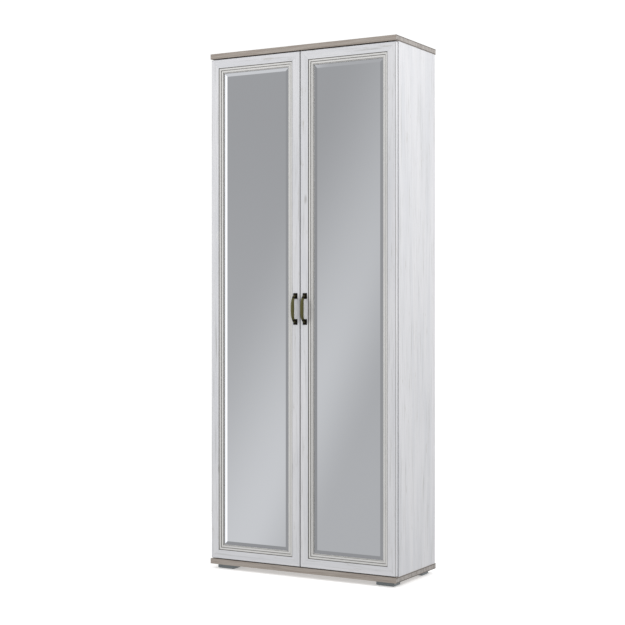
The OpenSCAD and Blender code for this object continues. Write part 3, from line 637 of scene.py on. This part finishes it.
def template(name, build):
    """A loose object that holds one fastener, drawn by build into a bmesh."""
    work = bmesh.new()
    build(work)
    bmesh.ops.remove_doubles(work, verts=work.verts, dist=0.001 * MM)
    bmesh.ops.recalc_face_normals(work, faces=work.faces)
    for f in work.faces:
        f.smooth = len(f.verts) == 4
    mesh = bpy.data.meshes.new(name)
    work.to_mesh(mesh)
    work.free()
    holder = bpy.data.objects.new(name, mesh)
    bpy.context.collection.objects.link(holder)
    return holder


def screw_profile(head_r, head_t, shank_r, length, pitch=1.2 * MM):
    """Countersunk wood screw from its head's face at height 0 down to its tip, with threads."""
    root_r = shank_r * 0.78
    tip_l = 2 * shank_r
    neck_l = 0.3 * MM
    profile = [(0, 0), (head_r * 0.92, 0), (head_r, head_t * 0.12), (shank_r * 0.8, head_t)]
    turns = int((length - head_t - tip_l) / pitch)
    for i in range(turns):
        base = head_t + neck_l + i * pitch
        profile += [(root_r, base), (shank_r, base + pitch * 0.45), (root_r, base + pitch * 0.7)]
    profile += [(shank_r * 0.7, length - tip_l), (0, length)]
    return profile


def wood_screw(name, head_r, head_t, shank_r, length):
    """A wood screw with a cross recess sunk in its head, pointing along +Z."""
    profile = screw_profile(head_r, head_t, shank_r, length)
    screw = template(name, lambda work: lathe(work, profile, 20, Matrix()))
    cut_cross(screw, head_r * 0.62, head_r * 0.17, head_t * 0.6)
    return screw


def cut_cross(piece, reach, half_w, depth):
    """Sinks a cross recess into a head whose face lies at height 0."""
    work = bmesh.new()
    for turn in (0, math.pi / 2):
        size = Matrix.Diagonal((2 * reach, 2 * half_w, 2 * depth, 1))
        bmesh.ops.create_cube(work, size=1.0, matrix=Matrix.Rotation(turn, 4, "Z") @ size)
    mesh = bpy.data.meshes.new("cross_cutter")
    work.to_mesh(mesh)
    work.free()
    cutter = bpy.data.objects.new("cross_cutter", mesh)
    bpy.context.collection.objects.link(cutter)
    modifier = piece.modifiers.new("Recess", "BOOLEAN")
    modifier.object = cutter
    modifier.operation = "DIFFERENCE"
    modifier.solver = "EXACT"
    modifier.use_self = True
    bpy.context.view_layer.update()
    result = bpy.data.meshes.new_from_object(piece.evaluated_get(bpy.context.evaluated_depsgraph_get()))
    piece.modifiers.clear()
    piece.data = result
    bpy.data.objects.remove(cutter)


AIM = {
    "+Z": (0, 0, 0),
    "-Z": (math.pi, 0, 0),
    "+Y": (-math.pi / 2, 0, 0),
    "-Y": (math.pi / 2, 0, 0),
    "+X": (0, math.pi / 2, 0),
    "-X": (0, -math.pi / 2, 0),
}


def start_of(low, high, aim):
    """The middle of the face that a solid's box turns towards, seen against its aim."""
    point = (low + high) / 2
    axis = "XYZ".index(aim[1])
    point[axis] = low[axis] if aim[0] == "+" else high[axis]
    return point


def all_aimed(node, aim):
    """Every solid of a node as a place: where it starts and how it is turned."""
    return [(start_of(low, high, aim), AIM[aim]) for low, high in islands(node)]


# ---------------------------------------------------------------- pieces

class ArmoireFoil(bpy.types.PropertyGroup):
    """How the boards' edges are made."""

    board_arris: bpy.props.FloatProperty(
        name="Board arris", description="Radius of the oak boards' edges",
        default=1.2 * MM, min=0.2 * MM, max=3 * MM, unit="LENGTH",
    )
    frame_arris: bpy.props.FloatProperty(
        name="Frame arris", description="Radius of the door frames' edges",
        default=0.55 * MM, min=0.1 * MM, max=0.8 * MM, unit="LENGTH",
    )
    panel_arris: bpy.props.FloatProperty(
        name="Panel arris", description="Radius of the panels' edge banding",
        default=0.6 * MM, min=0.1 * MM, max=2 * MM, unit="LENGTH",
    )


class ArmoireHandle(bpy.types.PropertyGroup):
    """Shape of the cast handles."""

    strap_t: bpy.props.FloatProperty(
        name="Strap thickness", description="Thickness of the strap in its middle",
        default=3.6 * MM, min=2 * MM, max=6 * MM, unit="LENGTH",
    )
    strap_w: bpy.props.FloatProperty(
        name="Strap width", description="Width of the strap in its middle",
        default=17 * MM, min=10 * MM, max=18 * MM, unit="LENGTH",
    )
    strap_end_w: bpy.props.FloatProperty(
        name="Strap end width", description="Width of the strap where it meets a foot",
        default=10 * MM, min=5 * MM, max=14 * MM, unit="LENGTH",
    )
    strap_bow: bpy.props.FloatProperty(
        name="Bow", description="How late the strap bends back to its feet",
        default=4.0, min=2.0, max=8.0,
    )
    plate_t: bpy.props.FloatProperty(
        name="Foot thickness", description="Thickness of a foot with its step",
        default=5.5 * MM, min=3 * MM, max=9 * MM, unit="LENGTH",
    )


class ArmoireStage(bpy.types.PropertyGroup):
    """Light and camera."""

    key_power: bpy.props.FloatProperty(
        name="Key light", description="Power of the soft light on the left", default=58.0,
        min=0.0, unit="POWER",
    )
    fill_power: bpy.props.FloatProperty(
        name="Fill light", description="Power of the soft light on the right", default=76.0,
        min=0.0, unit="POWER",
    )
    surround: bpy.props.FloatProperty(
        name="Surround", description="Strength of the studio's white surround", default=0.68, min=0.0,
    )
    lens: bpy.props.FloatProperty(
        name="Lens", description="Focal length on a 36 mm sensor", default=80.0, min=20.0,
        unit="CAMERA",
    )
    azimuth: bpy.props.FloatProperty(
        name="Azimuth", description="Turn of the camera to the right of the front",
        default=math.radians(29.7), subtype="ANGLE",
    )


class DressBoards(bpy.types.Operator):
    """Top and bottom boards in limed oak foil, with darker arrises"""

    bl_idname = "armoire.boards"
    bl_label = "Top and Bottom Boards"

    def execute(self, context):
        for node in ("top_board", "bottom_board"):
            board = cad_copy(node + "_foiled", node)
            board.data.materials.append(finish("oak"))
            board.data.materials.append(finish("oak_line"))
            bevel(board, context.scene.armoire_foil.board_arris, 2, 1)
            stand_for(board, node)
        return {"FINISHED"}


class DressPanels(bpy.types.Operator):
    """Sides, divider, shelves and backs"""

    bl_idname = "armoire.panels"
    bl_label = "Panels and Shelves"

    def execute(self, context):
        for side in SIDES:
            panel = cad_copy(f"side_{side}_foiled", f"side_{side}")
            panel.data.materials.append(finish("pine_upright"))
            bevel(panel, context.scene.armoire_foil.panel_arris, 2, -1, 80)
            stand_for(panel, f"side_{side}")
            paint(f"back_{side}", "hardboard")
        paint("divider", "pine_upright")
        shelves = ["hat_shelf"] + [node for node in frame["nodes"] if node.startswith("shelf_left_")]
        for node in shelves:
            shelf = cad_copy(node + "_foiled", node)
            shelf.data.materials.append(finish("pine_across"))
            if node != "hat_shelf":
                bevel(shelf, context.scene.armoire_foil.panel_arris, 2)
            stand_for(shelf, node)
        return {"FINISHED"}


class DressDoors(bpy.types.Operator):
    """Mitred door frames with glazed steps, mirrors and their backings"""

    bl_idname = "armoire.doors"
    bl_label = "Doors and Mirrors"

    def execute(self, context):
        grains = {
            "outer_stile": "pine_stile", "inner_stile": "pine_stile",
            "top_rail": "pine_rail", "bottom_rail": "pine_rail",
        }
        for side in SIDES:
            for part, material in grains.items():
                node = f"{part}_{side}"
                rail = cad_copy(node + "_foiled", node)
                rail.data.materials.append(finish(material))
                bevel(rail, context.scene.armoire_foil.frame_arris, 2, -1, 40)
                stand_for(rail, node)
            paint(f"mirror_{side}", "mirror")
            paint(f"mirror_backing_{side}", "hardboard")
        return {"FINISHED"}


class CastHandles(bpy.types.Operator):
    """Cast bronze handles: square stepped feet and a crowned bow strap"""

    bl_idname = "armoire.handles"
    bl_label = "Handles"

    def execute(self, context):
        look = context.scene.armoire_handle
        for side in SIDES:
            node = f"handle_{side}"
            handle = cast_handle(node, look)
            stand_for(handle, node)
        return {"FINISHED"}


def foot_ring(half_w, half_h, out, middle):
    """A rounded rectangle, at a distance in front of the door's face."""
    corner_share = 0.16
    steps = 5
    points = []
    radius = corner_share * half_w
    for corner in range(4):
        base = math.pi / 2 * corner
        way_x = math.copysign(half_w - radius, math.cos(base + math.pi / 4))
        way_z = math.copysign(half_h - radius, math.sin(base + math.pi / 4))
        for i in range(steps):
            angle = base + math.pi / 2 * i / (steps - 1)
            points.append(middle + Vector((
                way_x + radius * math.cos(angle), -out, way_z + radius * math.sin(angle),
            )))
    return points


def strap_sections(look, middle, face_y, low_y, half_z):
    """Crowned sections along the bow, from its lower to its upper end: flat in the middle, and
    bent back to the feet near the ends."""
    sections = []
    stations = 40
    points = 16
    reach = face_y - low_y - look.strap_t / 2
    drop = reach - look.plate_t
    for s in range(-stations, stations + 1):
        share = s / stations
        out = reach - drop * abs(share) ** look.strap_bow
        slope = -drop * look.strap_bow * abs(share) ** (look.strap_bow - 1) / half_z
        slope = math.copysign(slope, -share) if share else 0.0
        outward = Vector((0, -1, -slope)).normalized()
        width = look.strap_end_w + (look.strap_w - look.strap_end_w) * (1 - share * share)
        heart = Vector((middle.x, face_y - out, middle.z + half_z * share))
        section = []
        for i in range(points):
            angle = 2 * math.pi * i / points
            sideways = math.copysign(abs(math.cos(angle)) ** 0.6, math.cos(angle))
            section.append(
                heart
                + Vector((width / 2 * sideways, 0, 0))
                + outward * (look.strap_t / 2 * math.sin(angle))
            )
        sections.append(section)
    return sections


def cast_foot(work, look, half_w, half_h, spot):
    """A stepped foot of a handle, with the domed stud that carries the strap's end."""
    steps = ((0, 0), (0, 0.27), (0.6, 0.38), (2.2, 0.45), (2.9, 0.55), (3.2, 0.84), (4.2, 1))
    loft(work, [
        foot_ring(half_w - inset * MM, half_h - inset * MM, share * look.plate_t, spot)
        for inset, share in steps
    ])
    dome = ((0, -1), (4.6, -1), (4.2, 2), (3.0, 4.2), (0, 5.4))
    face = Matrix.Translation(spot - Vector((0, look.plate_t, 0)))
    outward = Matrix.Rotation(math.pi / 2, 4, "X")
    lathe(work, [(radius * MM, height * MM) for radius, height in dome], 20, face @ outward)


def cast_handle(node, look):
    """One handle as a single casting, with its wear painted on the vertices: full on the strap, a
    little on the studs and none on the feet."""
    low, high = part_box(node)
    middle = (low + high) / 2
    face_y = high.y
    screws = islands(node.replace("handle", "handle_screws"))
    foot_zs = sorted((lo.z + hi.z) / 2 for lo, hi in screws)
    half_w = (high.x - low.x) / 2
    half_h = high.z - foot_zs[1]
    work = bmesh.new()
    for z in foot_zs:
        cast_foot(work, look, half_w, half_h, Vector((middle.x, face_y, z)))
    strap_past_foot = 4 * MM
    half_z = (foot_zs[1] - foot_zs[0]) / 2 + strap_past_foot
    loft(work, strap_sections(look, Vector((middle.x, 0, middle.z)), face_y, low.y, half_z))
    piece = new_piece(node + "_cast", work, "bronze")
    wear = piece.data.attributes.new("wear", "FLOAT", "POINT")
    reach = face_y - low.y
    strap_out = 0.3
    stud_out = 0.26
    stud_wear = 0.45
    for i, vertex in enumerate(piece.data.vertices):
        out = (face_y - vertex.co.y) / reach
        near = min(abs(vertex.co.z - z) for z in foot_zs)
        on_strap = min(1.0, max(0.0, (near - 6 * MM) / (9 * MM)))
        on_stud = stud_wear if out > stud_out and near < 3 * MM else 0.0
        wear.data[i].value = max(on_strap if out > strap_out else 0.0, on_stud)
    for polygon in piece.data.polygons:
        polygon.use_smooth = True
    edges_sharp(piece, 40)
    return piece


def edges_sharp(piece, angle):
    """Keeps edges steeper than the angle crisp on a smooth-shaded piece."""
    work = bmesh.new()
    work.from_mesh(piece.data)
    for edge in work.edges:
        edge.smooth = edge.calc_face_angle(0) < math.radians(angle)
    work.to_mesh(piece.data)
    work.free()


class DressFeet(bpy.types.Operator):
    """Powder-coated feet with felt pads"""

    bl_idname = "armoire.feet"
    bl_label = "Feet"

    def execute(self, context):
        feet = [node for node in frame["nodes"] if node.startswith(("foot_front", "foot_rear"))]
        for node in feet:
            foot = cad_copy(node + "_coated", node)
            foot.data.materials.append(finish("foot"))
            bevel(foot, 0.8 * MM, 2, -1, 60)
            stand_for(foot, node)
        paint("foot_pads", "felt")
        return {"FINISHED"}


class DressFittings(bpy.types.Operator):
    """Hinges, hanging rail, sockets, brackets and bumpers"""

    bl_idname = "armoire.fittings"
    bl_label = "Hinges and Rail"

    def execute(self, context):
        nickel = ["hinge_arms", "hinge_plates", "hanging_rail", "rail_socket_front", "rail_socket_rear"]
        for side in SIDES:
            nickel += [f"hinge_links_{side}", f"hinge_cups_{side}"]
            paint(f"wall_bracket_{side}", "zinc")
        for node in nickel:
            paint(node, "nickel")
        paint("door_bumpers", "bumper")
        return {"FINISHED"}


class SetFasteners(bpy.types.Operator):
    """Nails, screws, pins, cams and dowels: nails, pins and some screws set on their places by Geometry
    Nodes, the rest given their finishes
    """

    bl_idname = "armoire.fasteners"
    bl_label = "Fasteners"

    def execute(self, context):
        nail = turned("nail", 16, (0, 0), (1.5, 0), (2.2, 0.25), (2.2, 0.5), (0.8, 0.6), (0.8, 16),
                      (0, 18.6))
        set_fasteners("back_nails_set", "back_nails", nail, all_aimed("back_nails", "-Y"), "zinc")
        pin = turned("shelf_pin", 20, (0, 0), (2.1, 0), (2.5, 0.4), (2.5, 14.6), (2.1, 15), (0, 15))
        set_fasteners("shelf_pins_set", "shelf_pins", pin, all_aimed("shelf_pins", "+X"), "zinc")
        for side in SIDES:
            set_pins(side)
            set_fasteners(f"cup_screws_{side}_set", f"cup_screws_{side}",
                          wood_screw("cup_screw", 3.8 * MM, 2 * MM, 1.8 * MM, 10 * MM),
                          all_aimed(f"cup_screws_{side}", "-Y"), "zinc", 1.3)
            paint(f"handle_screws_{side}", "zinc")
        set_fasteners("rail_screws_set", "rail_screws",
                      wood_screw("rail_screw", 3.8 * MM, 2 * MM, 1.8 * MM, 12 * MM),
                      all_aimed("rail_screws", "+Z"), "zinc", 1.3)
        set_fasteners("wall_bracket_screws_set", "wall_bracket_screws",
                      wood_screw("bracket_screw", 3.8 * MM, 2 * MM, 1.8 * MM, 12 * MM),
                      all_aimed("wall_bracket_screws", "+Z"), "zinc", 1.3)
        paint("cams", "cam")
        for node in ("cam_bolts", "foot_screws", "hinge_plate_screws"):
            paint(node, "zinc")
        paint("dowels", "beech")
        return {"FINISHED"}


def turned(name, steps, *profile):
    """A loose turned fastener, from (radius, height) pairs in millimetres."""
    outline = [(radius * MM, height * MM) for radius, height in profile]
    return template(name, lambda work: lathe(work, outline, steps, Matrix()))


def set_pins(side):
    """Glazing pins around one door's rebate: each lies along its own longest side."""
    node = f"backing_pins_{side}"
    places = []
    middle = (door_box(side)[0] + door_box(side)[1]) / 2
    for low, high in islands(node):
        size = high - low
        axis = 0 if size.x > size.z else 2
        outward = (low + high)[axis] / 2 > middle[axis]
        aim = ("+" if outward else "-") + "XYZ"[axis]
        places.append((start_of(low, high, aim), AIM[aim]))
    pin = turned("glazing_pin", 8, (0, 0), (0.8, 0), (0.8, 12), (0, 14))
    set_fasteners(node + "_set", node, pin, places, "zinc")


class SetStage(bpy.types.Operator):
    """Pale floor, soft studio light and the camera"""

    bl_idname = "armoire.stage"
    bl_label = "Studio and Camera"

    def execute(self, context):
        look = context.scene.armoire_stage
        lay_floor()
        soft_light("Key", look.key_power, 1.1, Vector((-2.6, -3.4, 2.5)), Vector((0, 0, 1.15)))
        soft_light("Fill", look.fill_power, 2.0, Vector((3.4, -0.9, 3.4)), Vector((0.45, 0, 1.7)))
        surround(look.surround)
        aim_camera(look)
        context.scene.view_settings.view_transform = "Standard"
        return {"FINISHED"}


def lay_floor():
    """A round floor just under the feet."""
    work = bmesh.new()
    bmesh.ops.create_circle(
        work, cap_ends=True, segments=96, radius=FLOOR_R,
        matrix=Matrix.Translation((0, 0, -0.5 * MM)),
    )
    mesh = bpy.data.meshes.new("studio_floor")
    work.to_mesh(mesh)
    work.free()
    mesh.materials.append(finish("floor"))
    floor = bpy.data.objects.new("studio_floor", mesh)
    bpy.context.collection.objects.link(floor)
    floor.visible_glossy = False
    floor.visible_diffuse = False


def soft_light(name, power, size, place, target):
    """A square softbox that looks at a point."""
    light = bpy.data.lights.new(name, "AREA")
    light.energy = power
    light.size = size
    lamp = bpy.data.objects.new(name, light)
    lamp.visible_glossy = False
    lamp.location = place
    lamp.rotation_euler = (target - place).to_track_quat("-Z", "Y").to_euler()
    bpy.context.collection.objects.link(lamp)


def surround(strength):
    """The studio around the piece: white for the camera and for the light that it gives. What the
    mirrors see is greyer: a wall that darkens upwards, with the slanting edge of a lit panel, a
    white screen to its left, darkness to its right and near the ground, and a plain pale room at
    the sides and behind."""
    world = bpy.data.worlds.new("Studio")
    bpy.context.scene.world = world
    world.use_nodes = True
    tree = world.node_tree
    tree.nodes.clear()
    ray = add(tree, "ShaderNodeTexCoord", (), "Generated")
    split = add(tree, "ShaderNodeSeparateXYZ", (ray,))
    rise = add(tree, "ShaderNodeMath", (split.outputs["Z"],), 0, operation="ARCSINE")
    up = add(tree, "ShaderNodeMath", (rise,), 0, operation="DEGREES")
    leftward = add(tree, "ShaderNodeMath", (split.outputs["X"], -1.0), 0, operation="MULTIPLY")
    forward = add(tree, "ShaderNodeMath", (split.outputs["Y"], -1.0), 0, operation="MULTIPLY")
    turn = add(tree, "ShaderNodeMath", (leftward, forward), 0, operation="ARCTAN2")
    left = add(tree, "ShaderNodeMath", (turn,), 0, operation="DEGREES")
    slant = 2.3
    crossing = 28.3
    fall = (left, -slant, slant * crossing)
    edge = add(tree, "ShaderNodeMath", fall, 0, operation="MULTIPLY_ADD")
    over = add(tree, "ShaderNodeMath", (up, edge), 0, operation="SUBTRACT")
    tone = 181.0
    for bearing, start, end, change in (
        (over, 0.0, 11.0, -26.0),  # above the slanting edge
        (over, 0.0, -7.0, -26.0),  # under it
        (up, 9.0, -9.0, 18.0),  # paler towards the ground
    ):
        share = add(tree, "ShaderNodeMapRange", (bearing, start, end), 0, **SOFT)
        tone = add(tree, "ShaderNodeMath", (share, change, tone), 0, operation="MULTIPLY_ADD")
    panel = add(tree, "ShaderNodeMapRange", (left, 29.8, 31.0, 168.0, 202.0), 0, **SOFT)
    room = add(tree, "ShaderNodeMapRange", (up, -30.0, 10.0, 160.0, 205.0), 0, **SOFT)
    for bearing, start, end, beyond in (
        (left, 34.0, 35.0, 140.0),  # the screen's dark rim
        (left, 38.0, 39.0, 262.0),  # the white screen
        (left, 26.0, 24.5, 146.0),  # darkness to the right
        (up, 12.0, 14.0, panel),  # what stands higher than the wall
        (up, -12.0, -14.0, 143.0),  # darkness near the ground
        (distance(tree, left, 0.0), 55.0, 75.0, room),  # the sides and the back
    ):
        share = add(tree, "ShaderNodeMapRange", (bearing, start, end), 0, **SOFT)
        tone = add(tree, "ShaderNodeMix", {0: share, 2: tone, 3: beyond}, 0)
    paths = add(tree, "ShaderNodeLightPath")
    # the tones are sRGB steps, seen by way of the silvering
    full_step = 255.0
    gamma = 2.2
    bright = add(tree, "ShaderNodeMath", (tone, full_step), 0, operation="DIVIDE")
    seen = add(tree, "ShaderNodeMath", (bright, gamma), 0, operation="POWER")
    seen = add(tree, "ShaderNodeMath", (seen, linear(SILVER)[1]), 0, operation="DIVIDE")
    power = add(tree, "ShaderNodeMix", {0: paths.outputs["Is Glossy Ray"], 2: strength, 3: seen}, 0)
    power = add(tree, "ShaderNodeMix", {0: paths.outputs["Is Camera Ray"], 2: power, 3: 1.05}, 0)
    shader = add(tree, "ShaderNodeBackground", {"Color": linear("#ffffff"), "Strength": power})
    add(tree, "ShaderNodeOutputWorld", {"Surface": shader.outputs["Background"]})


def aim_camera(look):
    """A level camera to the right of the front, placed from the top board's near corner."""
    low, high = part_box("top_board")
    past_end = 2.4825
    before_front = 5.034
    eye_height = 1.1348
    data = bpy.data.cameras.new("Camera")
    data.lens = look.lens
    data.sensor_width = 36.0
    data.shift_y = -0.0083
    data.dof.use_dof = False
    camera = bpy.data.objects.new("Camera", data)
    camera.location = (high.x + past_end, low.y - before_front, eye_height)
    camera.rotation_euler = (math.pi / 2, 0, look.azimuth)
    bpy.context.collection.objects.link(camera)
    bpy.context.scene.camera = camera


# ---------------------------------------------------------------- add-on

PIECES = (
    DressBoards, DressPanels, DressDoors, CastHandles, DressFeet, DressFittings, SetFasteners, SetStage,
)
GROUPS = {
    "armoire_foil": ArmoireFoil, "armoire_handle": ArmoireHandle, "armoire_stage": ArmoireStage,
}


class ArmoirePanel(bpy.types.Panel):
    """Lists the steps that dress the armoire"""

    bl_idname = "ARMOIRE_PT_steps"
    bl_label = "Armoire"
    bl_space_type = "VIEW_3D"
    bl_region_type = "UI"
    bl_category = "Armoire"

    def draw(self, context):
        for attribute, group in GROUPS.items():
            box = self.layout.box()
            for name in group.__annotations__:
                box.prop(getattr(context.scene, attribute), name)
        for piece in PIECES:
            self.layout.operator(piece.bl_idname)


def register():
    for cls in (*GROUPS.values(), *PIECES, ArmoirePanel):
        bpy.utils.register_class(cls)
    for attribute, group in GROUPS.items():
        setattr(bpy.types.Scene, attribute, bpy.props.PointerProperty(type=group))


def unregister():
    for attribute in GROUPS:
        delattr(bpy.types.Scene, attribute)
    for cls in reversed((*GROUPS.values(), *PIECES, ArmoirePanel)):
        bpy.utils.unregister_class(cls)


def main():
    """Registers the add-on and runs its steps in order."""
    register()
    for piece in PIECES:
        group, step = piece.bl_idname.split(".")
        getattr(getattr(bpy.ops, group), step)()


if __name__ == "__main__":
    main()
